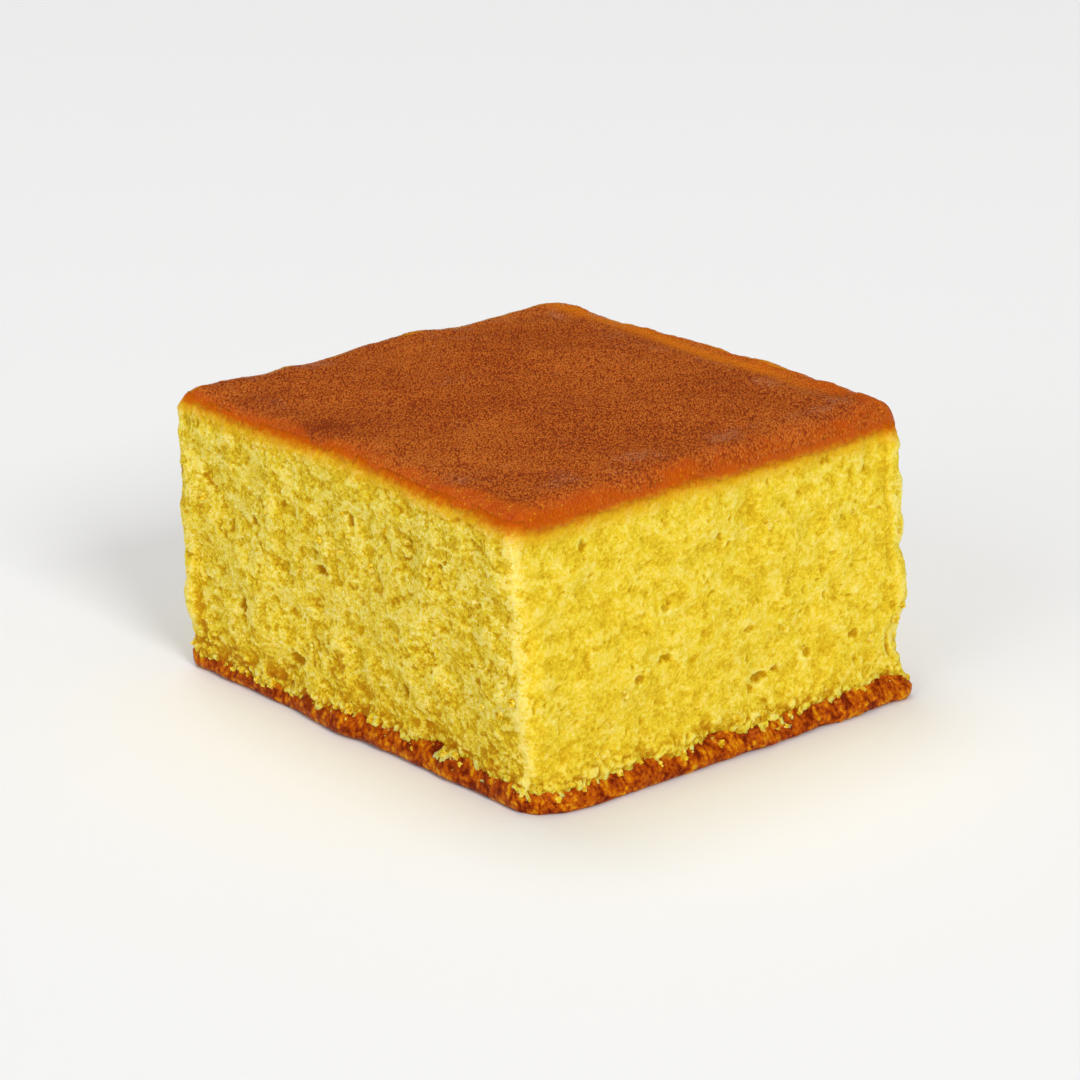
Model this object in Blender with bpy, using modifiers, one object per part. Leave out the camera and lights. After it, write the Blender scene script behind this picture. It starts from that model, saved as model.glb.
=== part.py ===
"""Sfouf: one piece of yellow semolina sponge cake, cut from a tray with a knife.

The piece is one solid. Its top is a smooth browned crust with a rounded rim, its four cut faces are
open crumb, and its base is a thin crust whose edge stands out past the crumb.
Metres, +Z up. The origin is the centre of the base. The near corner is at -X -Y.
"""

import math
import random

import bmesh
import bpy
from mathutils import Vector, noise

MM = 0.001

# ---- driving dimensions -------------------------------------------------------------------------
LENGTH_X = 60.0 * MM
LENGTH_Y = 63.0 * MM
HEIGHT = 36.0 * MM  # from the base to the flat of the top crust

RIM_RADIUS = 2.4 * MM  # where the top crust turns down to the cut faces
UPRIGHT_RADIUS = 1.6 * MM  # the four upright edges, worn round by handling

TOP_CRUST = 2.7 * MM  # depth of smooth crust down each cut face
BASE_CRUST = 1.9 * MM  # height of the browned base at each cut face
RAGGED = 0.4 * MM  # how far the upper edge of the base crust wanders up and down
LIP = 0.55 * MM  # how far the base crust stands out past the crumb
LIP_FADE = 14.0 * MM  # above this height the crumb is back in line with the lip

# The knife leaned, so the base and the top differ: how far each corner is from the plain rectangle.
# Keys are the corner's sides along X and Y.
FOOT_SHIFT = {
    (-1, -1): (2.1 * MM, -0.5 * MM),
    (1, -1): (-0.1 * MM, -1.8 * MM),
    (1, 1): (-0.2 * MM, -0.2 * MM),
    (-1, 1): (0.2 * MM, 1.2 * MM),
}
WORN_DEPTH = 0.7 * MM  # the foot of the near corner, along X and along Y
WORN_REACH = 4.0 * MM
WORN_HEIGHT = 6.0 * MM
TOP_SHIFT = {
    (-1, -1): (-1.1 * MM, 0.3 * MM),
    (1, -1): (0.2 * MM, 1.8 * MM),
    (1, 1): (-0.4 * MM, -0.5 * MM),
    (-1, 1): (-0.9 * MM, 0.4 * MM),
}

# ---- the top crust ------------------------------------------------------------------------------
DOME = 0.3 * MM  # how far the middle of the top rises above its edges
TOP_WAVE = 0.28 * MM  # slow unevenness of the baked top
TOP_WAVE_SIZE = 17.0 * MM
EDGE_WAVE = 0.35 * MM  # the rim rises and dips along its length
EDGE_WAVE_SIZE = 7.0 * MM
FOLD_INSET = 3.6 * MM  # a shallow fold runs along the +X edge
FOLD_WIDTH = 1.7 * MM
FOLD_DEPTH = 0.5 * MM
RIDGE_RISE = 0.35 * MM  # outside the fold the rim stands up

# ---- the crumb of the cut faces -----------------------------------------------------------------
KNIFE_WAVE = 0.4 * MM  # slow waves that the knife left
KNIFE_WAVE_SIZE = 10.0 * MM
CRAG = 0.4 * MM  # broken crumb
CRAG_SIZE = 2.9 * MM
PIT_SPACING = 4.6 * MM  # opened bubbles
PIT_REACH = 0.42  # a pit's radius, as a share of the spacing
PIT_DEPTH = 0.55 * MM

# Places where crumb tore away: the middle of each, its reach and its depth.
TORN = [
    {"middle": (29.5, -32.0, 7.5), "reach": 5.5, "depth": 1.3},  # by the base, near +X -Y
    {"middle": (7.0, -33.5, 6.0), "reach": 4.0, "depth": 1.1},  # low on the -Y face
    {"middle": (20.5, -33.5, 9.9), "reach": 2.6, "depth": 0.9},
    {"middle": (-30.5, 4.8, 21.2), "reach": 2.8, "depth": 0.9},  # on the -X face
    {"middle": (-30.5, 12.0, 5.5), "reach": 4.5, "depth": 0.9},
    {"middle": (-29.0, -14.0, 4.5), "reach": 4.0, "depth": 0.8},
    {"middle": (30.5, 8.0, 12.0), "reach": 3.6, "depth": 0.9},  # on the +X face
    {"middle": (-8.0, 32.0, 18.0), "reach": 3.2, "depth": 0.9},  # on the +Y face
]
RANDOM_TORN = 14  # smaller ones, spread over all four faces
SEED = 27

# ---- the mesh -----------------------------------------------------------------------------------
CELL = 1.1 * MM  # size of the even cells that carry the relief
MOST_TRIANGLES = 9800
WORN_SMOOTH = 0.5  # softens the sharpest crags, which crumble off
SINK = 1.2 * MM  # the block starts this far below the base, which is cut flat at the end
ROUND_SEGMENTS = 4

# Plain linear colours
CRUMB_YELLOW = (0.80, 0.59, 0.055, 1.0)
TOP_BROWN = (0.40, 0.085, 0.012, 1.0)
BASE_BROWN = (0.33, 0.10, 0.012, 1.0)


def clear_scene():
    for obj in list(bpy.data.objects):
        bpy.data.objects.remove(obj)


def material(name, colour, roughness):
    made = bpy.data.materials.new(name)
    made.use_nodes = True
    made.diffuse_color = colour
    shader = made.node_tree.nodes["Principled BSDF"]
    shader.inputs["Base Color"].default_value = colour
    shader.inputs["Roughness"].default_value = roughness
    shader.inputs["Metallic"].default_value = 0.0
    return made


def smooth_step(low, high, value):
    """0 below low, 1 above high, and a smooth rise between them."""
    share = min(1.0, max(0.0, (value - low) / (high - low)))
    return share * share * (3.0 - 2.0 * share)


def hill(distance, reach):
    """1 at no distance, falling smoothly to 0 at the reach."""
    return 1.0 - smooth_step(0.0, reach, distance)


def bumps(place, size, seed):
    """Smooth noise from about -1 to 1, with bumps of the given size."""
    return 2.0 * noise.noise(place / size + Vector((seed, seed, seed)))


# ---- the block ----------------------------------------------------------------------------------
def rounded_block():
    """The plain rectangular piece, with its upright edges, its rim and its foot rounded."""
    bm = bmesh.new()
    bmesh.ops.create_cube(bm, size=1.0)
    for vert in bm.verts:
        vert.co.x *= LENGTH_X
        vert.co.y *= LENGTH_Y
        vert.co.z = (vert.co.z + 0.5) * (HEIGHT + SINK) - SINK

    def bevel(radius, chosen):
        edges = [edge for edge in bm.edges if chosen([vert.co.z for vert in edge.verts])]
        bmesh.ops.bevel(
            bm, geom=edges, offset=radius, segments=ROUND_SEGMENTS, profile=0.5, affect="EDGES"
        )

    middle = HEIGHT / 2
    bevel(UPRIGHT_RADIUS, lambda heights: min(heights) < middle < max(heights))
    bevel(RIM_RADIUS, lambda heights: min(heights) > HEIGHT - MM / 10)
    mesh = bpy.data.meshes.new("block")
    bm.to_mesh(mesh)
    bm.free()
    return mesh


def evaluated(obj, name):
    """A new mesh of the object with its modifiers applied, and the object removed."""
    graph = bpy.context.evaluated_depsgraph_get()
    mesh = bpy.data.meshes.new_from_object(obj.evaluated_get(graph))
    mesh.name = name
    bpy.data.objects.remove(obj)
    return mesh


def even_cells(mesh):
    """The same block in even cells that are fine enough to carry the relief."""
    obj = bpy.data.objects.new("block", mesh)
    bpy.context.scene.collection.objects.link(obj)
    remesh = obj.modifiers.new("even cells", "REMESH")
    remesh.mode = "VOXEL"
    remesh.voxel_size = CELL
    return evaluated(obj, "even block")


# ---- the form -----------------------------------------------------------------------------------
def lean(place):
    """Moves a place of the plain block to where the leaning cuts put it."""
    up = place.z / HEIGHT
    across = place.x / LENGTH_X + 0.5
    along = place.y / LENGTH_Y + 0.5
    moved = Vector(place)
    for (side_x, side_y), foot in FOOT_SHIFT.items():
        top = TOP_SHIFT[(side_x, side_y)]
        share = (across if side_x > 0 else 1.0 - across) * (along if side_y > 0 else 1.0 - along)
        moved.x += share * (foot[0] * (1.0 - up) + top[0] * up)
        moved.y += share * (foot[1] * (1.0 - up) + top[1] * up)
    return moved


def worn_corner(place):
    """The foot of the near corner is worn rounder than the other corners."""
    from_corner = Vector((place.x + LENGTH_X / 2, place.y + LENGTH_Y / 2)).length
    worn = WORN_DEPTH * hill(from_corner, WORN_REACH) * hill(place.z, WORN_HEIGHT)
    return Vector((worn, worn, 0.0))


def top_rise(place):
    """How far the baked top lies above the flat at this place."""
    across = min(1.0, abs(2.0 * place.x / LENGTH_X))
    along = min(1.0, abs(2.0 * place.y / LENGTH_Y))
    flat = Vector((place.x, place.y, 0.0))
    rise = DOME * (1.0 - across**4) * (1.0 - along**4)
    rise += TOP_WAVE * bumps(flat, TOP_WAVE_SIZE, 3.0)
    near_edge = smooth_step(0.75, 1.0, max(across, along))
    rise += EDGE_WAVE * near_edge * bumps(flat, EDGE_WAVE_SIZE, 8.0)
    from_fold = abs(place.x - (LENGTH_X / 2 - FOLD_INSET))
    ends = smooth_step(-LENGTH_Y / 2, -LENGTH_Y / 3, place.y)
    ends *= 1.0 - smooth_step(0.0, LENGTH_Y / 3, place.y)
    rise -= FOLD_DEPTH * hill(from_fold, FOLD_WIDTH) * ends
    outside = smooth_step(LENGTH_X / 2 - FOLD_INSET, LENGTH_X / 2 - RIM_RADIUS, place.x)
    rise += RIDGE_RISE * outside * ends
    return rise


def torn_places():
    """Middle, reach and depth of every torn place, in metres."""
    found = [(Vector(t["middle"]) * MM, t["reach"] * MM, t["depth"] * MM) for t in TORN]
    draw = random.Random(SEED)
    for index in range(RANDOM_TORN):
        side = -1 if index % 4 < 2 else 1
        height = draw.uniform(4.0 * MM, HEIGHT - 7.0 * MM)
        if index % 2:
            middle = Vector((side * LENGTH_X / 2, draw.uniform(-0.42, 0.42) * LENGTH_Y, height))
        else:
            middle = Vector((draw.uniform(-0.42, 0.42) * LENGTH_X, side * LENGTH_Y / 2, height))
        found.append((middle, draw.uniform(1.8, 3.2) * MM, draw.uniform(0.5, 0.8) * MM))
    return found


def crumb_relief(place, torn):
    """How far the crumb of a cut face stands out (or in, below 0) at this place."""
    relief = KNIFE_WAVE * bumps(place, KNIFE_WAVE_SIZE, 21.0)
    relief += CRAG * bumps(place, CRAG_SIZE, 34.0)
    nearest = noise.voronoi(place / PIT_SPACING)[0][0]
    relief -= PIT_DEPTH * hill(nearest, PIT_REACH)
    for middle, reach, depth in torn:
        relief -= depth * hill((place - middle).length, reach)
    return relief


def formed(place, normal, torn):
    """Where a place of the plain block ends up on the real piece."""
    sideways = Vector((normal.x, normal.y, 0.0))
    upright = 1.0 - abs(normal.z)  # 1 on a cut face, 0 on the top and the base
    below_top = HEIGHT - place.z
    in_crumb = smooth_step(TOP_CRUST * 0.6, TOP_CRUST * 1.5, below_top)
    ragged = RAGGED * bumps(place, CRAG_SIZE, 55.0)
    above_base = smooth_step(BASE_CRUST * 0.6, BASE_CRUST * 1.7, place.z + ragged)
    relief = crumb_relief(place, torn) * in_crumb * (0.35 + 0.65 * above_base)
    relief -= LIP * above_base * hill(place.z, LIP_FADE)
    moved = lean(place) + sideways * (relief * upright) + worn_corner(place)
    if place.z > 0.0:
        moved.z += top_rise(place) * smooth_step(HEIGHT / 2, HEIGHT, place.z)
    return moved


def shape(mesh):
    """Turns the plain block into the piece by moving each of its points."""
    torn = torn_places()
    normals = [vert.normal.copy() for vert in mesh.vertices]
    for vert, normal in zip(mesh.vertices, normals, strict=True):
        vert.co = formed(vert.co.copy(), normal, torn)


def fewer_faces(mesh):
    """The same form, a little worn, in large faces where it is smooth and small where broken."""
    mesh.calc_loop_triangles()
    obj = bpy.data.objects.new("formed", mesh)
    bpy.context.scene.collection.objects.link(obj)
    worn = obj.modifiers.new("worn crumb", "SMOOTH")
    worn.factor = WORN_SMOOTH
    worn.iterations = 1
    thin = obj.modifiers.new("fewer faces", "DECIMATE")
    thin.ratio = min(1.0, MOST_TRIANGLES / len(mesh.loop_triangles))
    return evaluated(obj, "thinned")


def finish(mesh):
    """Cuts the base flat, puts the origin in its middle and names the faces' finishes."""
    bm = bmesh.new()
    bm.from_mesh(mesh)
    cut = bmesh.ops.bisect_plane(
        bm,
        geom=bm.verts[:] + bm.edges[:] + bm.faces[:],
        dist=MM / 1000,
        plane_co=(0.0, 0.0, 0.0),
        plane_no=(0.0, 0.0, -1.0),
        clear_outer=True,
    )
    rim = [part for part in cut["geom_cut"] if isinstance(part, bmesh.types.BMEdge)]
    bmesh.ops.holes_fill(bm, edges=rim, sides=0)
    bmesh.ops.recalc_face_normals(bm, faces=bm.faces[:])
    xs = [vert.co.x for vert in bm.verts]
    ys = [vert.co.y for vert in bm.verts]
    middle = Vector(((min(xs) + max(xs)) / 2, (min(ys) + max(ys)) / 2, 0.0))
    bmesh.ops.translate(bm, verts=bm.verts[:], vec=-middle)
    for face in bm.faces:
        centre = face.calc_center_median()
        if centre.z > HEIGHT - TOP_CRUST:
            face.material_index = 1
        elif centre.z < BASE_CRUST:
            face.material_index = 2
    bm.to_mesh(mesh)
    bm.free()
    return mesh


def main():
    clear_scene()
    parts = bpy.data.collections.new("sfouf")
    bpy.context.scene.collection.children.link(parts)
    mesh = even_cells(rounded_block())
    shape(mesh)
    mesh = finish(fewer_faces(mesh))
    mesh.materials.clear()
    mesh.materials.append(material("crumb", CRUMB_YELLOW, 0.85))
    mesh.materials.append(material("top crust", TOP_BROWN, 0.45))
    mesh.materials.append(material("base crust", BASE_BROWN, 0.7))
    piece = bpy.data.objects.new("sfouf_piece", mesh)
    parts.objects.link(piece)
    mesh.shade_smooth()
    mesh.set_sharp_from_angle(angle=math.radians(40.0))


main()
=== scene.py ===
# %% [markdown]
# # A square of sfouf
# Sfouf is a yellow semolina sponge, baked in a wide tray and cut with a knife. A square of it has three
# kinds of face to show: a smooth browned top crust, four cut sides of open crumb, and a thin browned
# base that sticks out a little past the crumb. The solid in model.glb gives its size and its lean.
# This lesson dresses that solid: every surface below is cast outwards onto it, so nothing has to be
# fitted afterwards. Lengths are in millimetres until a mesh is made, and MM turns them into metres.

# %% Load the frame
import itertools
import math

import bmesh
import bpy
import numpy as np
from mathutils import Matrix, Vector
from mathutils.bvhtree import BVHTree


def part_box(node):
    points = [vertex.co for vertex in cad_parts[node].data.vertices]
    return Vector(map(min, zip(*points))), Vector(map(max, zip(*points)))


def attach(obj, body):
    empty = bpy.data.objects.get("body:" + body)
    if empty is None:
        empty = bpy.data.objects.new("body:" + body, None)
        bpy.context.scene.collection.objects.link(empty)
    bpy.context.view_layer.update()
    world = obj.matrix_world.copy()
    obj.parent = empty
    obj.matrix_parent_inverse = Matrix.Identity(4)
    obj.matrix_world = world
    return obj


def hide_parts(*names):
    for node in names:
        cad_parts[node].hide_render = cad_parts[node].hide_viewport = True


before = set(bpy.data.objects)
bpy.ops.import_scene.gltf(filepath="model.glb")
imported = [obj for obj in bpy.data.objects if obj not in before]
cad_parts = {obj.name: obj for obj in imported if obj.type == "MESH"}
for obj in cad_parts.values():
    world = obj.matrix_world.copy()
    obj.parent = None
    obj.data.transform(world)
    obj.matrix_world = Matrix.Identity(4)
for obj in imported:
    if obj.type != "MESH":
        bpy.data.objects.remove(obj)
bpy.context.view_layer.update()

MM = 0.001
NODE = "sfouf_piece"
low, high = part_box(NODE)
HALF_X, HALF_Y, TOP = high.x / MM, high.y / MM, high.z / MM
print(f"the piece is {2 * HALF_X:.1f} x {2 * HALF_Y:.1f} x {TOP:.1f} mm")

# %% [markdown]
# ## Camera, light and floor
# The piece is seen from above one corner. A long lens, far away, keeps its upright edges nearly
# parallel. A Track To constraint could aim the camera, but a matrix built from three directions also
# holds its slight roll.

# %% The camera
LENS_MM = 120.0
SENSOR_MM = 36.0
AZIMUTH = math.radians(-40.198)
ELEVATION = math.radians(19.857)
ROLL = math.radians(-0.567)
DISTANCE_MM = 430.67
AIM_MM = Vector((0.2, 0.2, 18.0))
NUDGE_MM = (-0.217, -0.147)  # the view's centre is this far to the right of and above the aim


def in_scene(name, data):
    """A new object in the scene, with this camera, lamp or mesh for its data."""
    made = bpy.data.objects.new(name, data)
    bpy.context.scene.collection.objects.link(made)
    return made


flat = math.cos(ELEVATION)
back = Vector((math.sin(AZIMUTH) * flat, -math.cos(AZIMUTH) * flat, math.sin(ELEVATION)))
level = Vector((math.cos(AZIMUTH), math.sin(AZIMUTH), 0.0))
upward = back.cross(level)
right = level * math.cos(ROLL) + upward * math.sin(ROLL)
top_of_view = upward * math.cos(ROLL) - level * math.sin(ROLL)
stand = (AIM_MM + back * DISTANCE_MM + level * NUDGE_MM[0] + upward * NUDGE_MM[1]) * MM

lens = bpy.data.cameras.new("view")
lens.lens = LENS_MM
lens.sensor_width = SENSOR_MM
lens.clip_start = 0.01
camera = in_scene("view", lens)
turn = Matrix((right, top_of_view, back)).transposed().to_4x4()
camera.matrix_world = Matrix.Translation(stand) @ turn
bpy.context.scene.camera = camera
print(f"the camera stands {DISTANCE_MM:.0f} mm away, {math.degrees(ELEVATION):.0f} degrees up")


# %% The lights
WHITE = (1.0, 1.0, 1.0)
WARM_WHITE = (1.0, 0.995, 0.98)
LIT_AT = Vector((0.0, 0.0, 0.015))  # the soft boxes face this place, in metres
SIDES_GLOW, OVERHEAD_GLOW = 0.03, 0.86  # the strength of the room's light at the sides and overhead
SIDES_END = 0.35  # how steeply up the sides end, as the sine of the angle


def soft_light(name, place, watts, size, colour):
    """A square soft box that faces the piece. Place and size are in metres."""
    lamp = bpy.data.lights.new(name, "AREA")
    lamp.energy = watts
    lamp.size = size
    lamp.color = colour
    box = in_scene(name, lamp)
    box.location = place
    box.rotation_euler = (LIT_AT - Vector(place)).to_track_quat("-Z", "Y").to_euler()


soft_light("key", (-0.80, -3.44, 2.16), 96.0, 1.30, WARM_WHITE)
soft_light("fill", (-3.50, -0.30, 1.60), 45.0, 2.5, WHITE)
soft_light("above", (0.20, 1.40, 3.60), 34.0, 1.8, WHITE)

world = bpy.data.worlds.new("studio")
world.use_nodes = True
air = world.node_tree
towards = air.nodes.new("ShaderNodeTexCoord")
parted = air.nodes.new("ShaderNodeSeparateXYZ")
glow = air.nodes.new("ShaderNodeMapRange")
glow.inputs["From Min"].default_value = SIDES_END
glow.inputs["To Min"].default_value = SIDES_GLOW
glow.inputs["To Max"].default_value = OVERHEAD_GLOW
air.links.new(towards.outputs["Generated"], parted.inputs["Vector"])
air.links.new(parted.outputs["Z"], glow.inputs["Value"])
air.links.new(glow.outputs["Result"], air.nodes["Background"].inputs["Strength"])
air.nodes["Background"].inputs["Color"].default_value = (*WHITE, 1.0)
bpy.context.scene.world = world
bpy.context.scene.view_settings.view_transform = "Standard"
print("three soft boxes, and a room that is brighter overhead than at the sides")

# %% The floor
PAPER = (0.86, 0.86, 0.86)
PAPER_ROUGHNESS = 0.9
FLOOR_REACH = 3.0  # metres from the middle to each edge

sweep = bmesh.new()
bmesh.ops.create_grid(sweep, x_segments=2, y_segments=2, size=FLOOR_REACH)
floor_mesh = bpy.data.meshes.new("floor")
sweep.to_mesh(floor_mesh)
sweep.free()
paper = bpy.data.materials.new("pale paper")
paper.use_nodes = True
face = paper.node_tree.nodes["Principled BSDF"]
face.inputs["Base Color"].default_value = (*PAPER, 1.0)
face.inputs["Roughness"].default_value = PAPER_ROUGHNESS
floor_mesh.materials.append(paper)
floor = in_scene("floor", floor_mesh)
print("a plain pale floor")

# %% [markdown]
# ## Tools for shaping: noise, blur and casting
# A Displace modifier pushes a mesh by one texture at a time. Here bubbles, clumps and ragged edges have to
# know about each other, so the shapes are worked out as arrays, one row of numbers per row of mesh
# points. Three tools are enough: smooth noise in space, a blur, and a cast that finds how far out the
# solid's surface lies. Each noise has a seed of its own, a whole number, and the same seed always gives
# the same noise.


# %% Noise in space
def smooth_step(lowest, highest, value):
    """0 below lowest, 1 above highest, and a smooth rise between them."""
    share = np.clip((value - lowest) / (highest - lowest), 0.0, 1.0)
    return share * share * (3.0 - 2.0 * share)


def hump(offset, reach):
    """1 where the offset is 0, and near 0 where it is twice the reach."""
    return np.exp(-((offset / reach) ** 2))


def dice(x, y, z, seed):
    """A number from -1 to 1 for each whole place, always the same for the same place and seed."""
    mixed = (x * 374761393 + y * 668265263 + z * 1440662683 + seed * 974634777) & 0xFFFFFFFF
    mixed = ((mixed ^ (mixed >> 13)) * 1274126177) & 0xFFFFFFFF
    mixed = ((mixed ^ (mixed >> 16)) * 2246822519) & 0xFFFFFFFF
    return ((mixed ^ (mixed >> 15)) & 0xFFFFFF) / 8388607.5 - 1.0


def noise(places, size, seed):
    """Smooth noise from -1 to 1 at places in mm, with bumps of this size in mm."""
    scaled = places / size + 0.37 * seed
    corner = np.floor(scaled).astype(np.int64)
    within = scaled - corner
    within = within * within * (3.0 - 2.0 * within)
    total = np.zeros(places.shape[:-1])
    for offset in np.ndindex(2, 2, 2):
        share = [within[..., k] if offset[k] else 1.0 - within[..., k] for k in range(3)]
        x, y, z = np.moveaxis(corner + offset, -1, 0)
        total += share[0] * share[1] * share[2] * dice(x, y, z, seed)
    return total


def layered(places, size, seed, layers=3):
    """Noise with finer and weaker noise added to it."""
    return sum(noise(places, size / 2**k, seed + 7 * k) / 1.8**k for k in range(layers))


# %% Blur and cast
def blurred(field, cells):
    """The field averaged over this many cells each way, three times, which is close to a Gaussian."""
    reach = max(1, int(round(cells)))
    for axis in (0, 1):
        for _ in range(3):
            pad = [(0, 0)] * field.ndim
            pad[axis] = (reach + 1, reach)
            sums = np.cumsum(np.pad(field, pad, mode="edge"), axis=axis)
            upper = np.take(sums, range(2 * reach + 1, sums.shape[axis]), axis=axis)
            lower = np.take(sums, range(0, sums.shape[axis] - 2 * reach - 1), axis=axis)
            field = (upper - lower) / (2 * reach + 1)
    return field


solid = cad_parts[NODE]
corners = [vert.co.copy() for vert in solid.data.vertices]
solid_tree = BVHTree.FromPolygons(corners, [tuple(face.vertices) for face in solid.data.polygons])


def reach_of(origins, ways):
    """How far in mm the solid's surface is from each origin, going the given way."""
    found = np.zeros(origins.shape[:-1])
    last = 0.0
    for place in np.ndindex(found.shape):
        hit = solid_tree.ray_cast(Vector(origins[place] * MM), Vector(ways[place]))[3]
        last = last if hit is None else hit / MM
        found[place] = last
    return found


CAST_STEP = 3  # one cast for every few points; the rest are filled in smoothly


def between(field, rows, columns):
    """A field of few cells stretched to this many rows and columns."""
    old_rows = np.linspace(0, rows - 1, field.shape[0])
    old_columns = np.linspace(0, columns - 1, field.shape[1])
    wide = np.array([np.interp(range(columns), old_columns, row) for row in field])
    return np.array([np.interp(range(rows), old_rows, column) for column in wide.T]).T


def surface_of(origins, ways, soft_cells):
    """The solid's surface as a grid of places in mm, with its flat facets smoothed away."""
    rows, columns = origins.shape[:2]
    pick_rows = np.linspace(0, rows - 1, rows // CAST_STEP).round().astype(int)
    pick_columns = np.linspace(0, columns - 1, columns // CAST_STEP).round().astype(int)
    few = np.ix_(pick_rows, pick_columns)
    out = blurred(between(reach_of(origins[few], ways[few]), rows, columns), soft_cells)
    return origins + ways * out[..., None]


print("tools ready; the solid has", len(solid.data.polygons), "faces to cast on")

# %% [markdown]
# ## From arrays to a mesh
# A grid has its points in rows already, so the arrays are poured straight into it, and its flat layout
# makes a clean texture map. Each point also keeps a few numbers for its colour, such as how deep in a
# hollow it lies and how far it is below the top.


# %% Pour a grid of places into a mesh
def keep_notes(mesh, notes):
    """Notes are named fields, with one number for every point of the mesh."""
    for note, field in notes.items():
        kept = mesh.attributes.new(note, "FLOAT", "POINT")
        kept.data.foreach_set("value", field.astype(np.float32).ravel())


def grid_piece(name, places, notes, material):
    """A mesh object whose points are the grid of places."""
    rows, columns = places.shape[:2]
    grid = bmesh.new()
    grid.loops.layers.uv.new("OFBake")
    bmesh.ops.create_grid(grid, x_segments=columns - 1, y_segments=rows - 1, size=0.5, calc_uvs=True)
    mesh = bpy.data.meshes.new(name)
    grid.to_mesh(mesh)
    grid.free()
    mesh.vertices.foreach_set("co", (places * MM).astype(np.float32).ravel())
    keep_notes(mesh, notes)
    mesh.materials.append(material)
    mesh.shade_smooth()
    print(name, "has", 2 * len(mesh.polygons), "triangles")
    return in_scene(name, mesh)


def hand_in(piece):
    """Tells the frame that this piece stands for the solid and moves with it."""
    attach(piece, "root")
    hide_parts(NODE)


# %% [markdown]
# ## The colours of a baked sponge
# The cake is brown where it touched the heat, then orange, then golden, then yellow in the crumb. A
# shader that reads how far a point is from the crust fades through these colours, and noise added to that
# distance makes the fade uneven, as baking does. The crumb lets a little light in under its surface.


# %% Shader helpers
MIX_SHARE, MIX_FIRST, MIX_SECOND, MIX_RESULT = 0, 6, 7, 2  # where a Mix node keeps its colour sockets


def add_node(tree, kind, **settings):
    """A new node with these settings."""
    node = tree.nodes.new(kind)
    for key, value in settings.items():
        setattr(node, key, value)
    return node


def fill(node, **values):
    """Sets the node's inputs by name, where _ stands for a space."""
    for key, value in values.items():
        node.inputs[key.replace("_", " ")].default_value = value
    return node


def put(tree, value, socket):
    """Links the value to the socket if it is a socket too, and otherwise sets it there."""
    if isinstance(value, bpy.types.NodeSocket):
        tree.links.new(value, socket)
    else:
        socket.default_value = value


def weighted(tree, total, *terms):
    """The total plus every term's value times its weight. Each may be a number or a socket."""
    for value, weight in terms:
        made = add_node(tree, "ShaderNodeMath", operation="MULTIPLY_ADD")
        for item, socket in zip((value, weight, total), made.inputs, strict=True):
            put(tree, item, socket)
        total = made.outputs[0]
    return total


def product_of(tree, first, second):
    return weighted(tree, 0.0, (first, second))


def map_range(tree, value, lowest, highest, to_lowest=0.0, to_highest=1.0):
    """A smooth rise from to_lowest at the lowest value to to_highest at the highest."""
    made = add_node(tree, "ShaderNodeMapRange", interpolation_type="SMOOTHSTEP")
    fill(made, From_Min=lowest, From_Max=highest, To_Min=to_lowest, To_Max=to_highest)
    tree.links.new(value, made.inputs["Value"])
    return made.outputs["Result"]


def ramp(tree, value, stops):
    """Colours by value: stops are (position, colour)."""
    made = add_node(tree, "ShaderNodeValToRGB")
    bar = made.color_ramp
    while len(bar.elements) < len(stops):
        bar.elements.new(0.5)
    for element, (position, colour) in zip(bar.elements, stops, strict=True):
        element.position = position
        element.color = (*colour, 1.0)
    tree.links.new(value, made.inputs["Fac"])
    return made.outputs["Color"]


def blend_colours(tree, share, first, second):
    """The first colour, with this share of the second in its place."""
    made = add_node(tree, "ShaderNodeMix", data_type="RGBA")
    put(tree, share, made.inputs[MIX_SHARE])
    for colour, socket in ((first, MIX_FIRST), (second, MIX_SECOND)):
        put(tree, (*colour, 1.0) if isinstance(colour, tuple) else colour, made.inputs[socket])
    return made.outputs[MIX_RESULT]


# %% Shader patterns
def place_of(tree):
    """The place on the object itself, in metres."""
    return add_node(tree, "ShaderNodeTexCoord").outputs["Object"]


def note_of(tree, name):
    """One of the numbers that every point of the mesh keeps."""
    return add_node(tree, "ShaderNodeAttribute", attribute_name=name).outputs["Fac"]


def noise_node(tree, size_mm, detail=3.0, roughness=0.6):
    """Cloudy noise with features of this size."""
    made = add_node(tree, "ShaderNodeTexNoise")
    fill(made, Scale=1.0 / (size_mm * MM), Detail=detail, Roughness=roughness)
    tree.links.new(place_of(tree), made.inputs["Vector"])
    return made.outputs["Fac"]


def crystal_node(tree, size_mm):
    """Angular grains of this size: a colour of its own for each, and the distance from its middle."""
    made = fill(add_node(tree, "ShaderNodeTexVoronoi"), Scale=1.0 / (size_mm * MM))
    tree.links.new(place_of(tree), made.inputs["Vector"])
    return made.outputs["Color"], made.outputs["Distance"]


def vector_math(tree, operation, *values):
    made = add_node(tree, "ShaderNodeVectorMath", operation=operation)
    for value, socket in zip(values, made.inputs, strict=False):
        put(tree, value, socket)
    return made.outputs[0]


def facets(tree, grain_colour, tilt):
    """A normal that leans its own way on each grain, for glints."""
    centred = vector_math(tree, "SUBTRACT", grain_colour, (0.5, 0.5, 0.5))
    lean = vector_math(tree, "MULTIPLY", centred, tilt)
    normal = add_node(tree, "ShaderNodeNewGeometry").outputs["Normal"]
    return vector_math(tree, "NORMALIZE", vector_math(tree, "ADD", normal, lean))


def bump(tree, height, depth_mm, normal=None):
    """A normal that follows this height, over a normal that may be bent already."""
    made = fill(add_node(tree, "ShaderNodeBump"), Distance=depth_mm * MM)
    tree.links.new(height, made.inputs["Height"])
    if normal:
        tree.links.new(normal, made.inputs["Normal"])
    return made.outputs["Normal"]


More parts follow.
